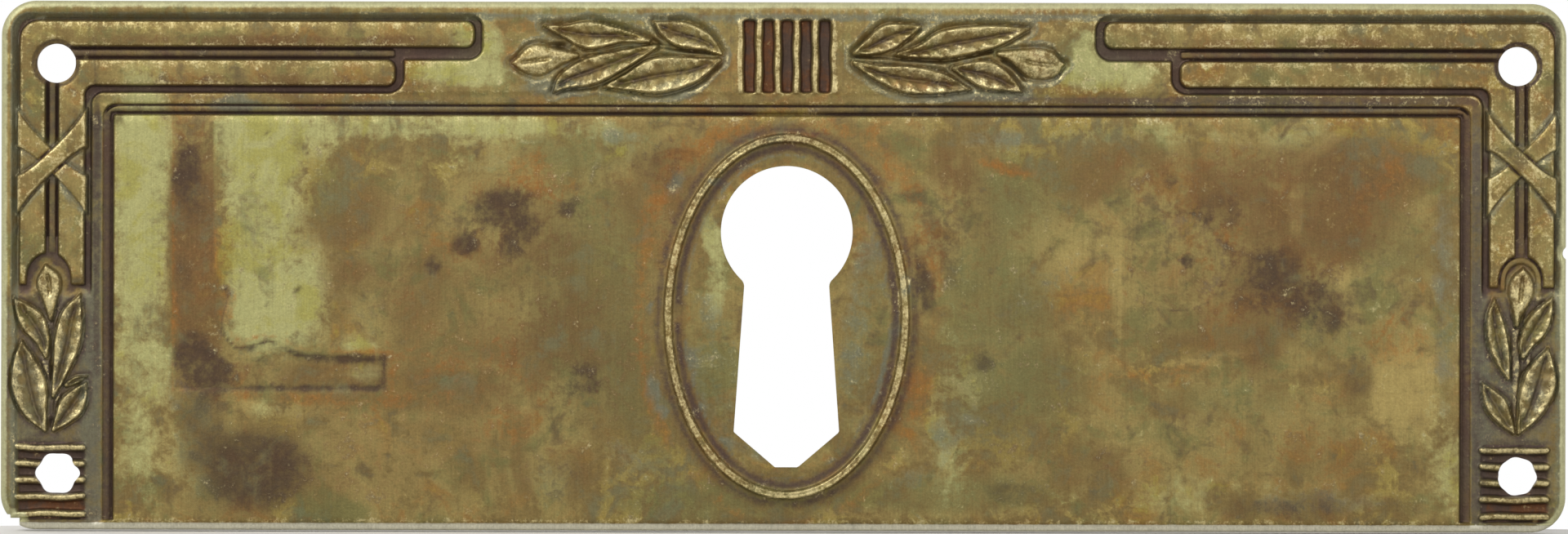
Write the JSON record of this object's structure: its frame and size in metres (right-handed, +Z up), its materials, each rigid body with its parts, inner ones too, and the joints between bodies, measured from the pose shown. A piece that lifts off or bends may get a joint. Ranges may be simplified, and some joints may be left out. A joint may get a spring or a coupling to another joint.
{
  "type": "keyhole escutcheon",
  "caption": "Pressed sheet-brass keyhole plate with two flat bars, leaf sprays, ribbon crosses, a ribbed block, a raised oval ring round the keyhole and corner nail holes.",
  "frame": {"origin": "middle of the plane on which the turned-down rim lies, which is the drawer or door front", "axes": "+Z up as it is fixed, +X to the right as one faces it, and the face towards -Y"},
  "size_m": [0.1, 0.0021, 0.0338],
  "materials": {
    "patinated_brass": "pressed, with an olive and brown patina"
  },
  "bodies": {
    "root": {"escutcheon_plate": "patinated_brass"}
  },
  "joints": []
}
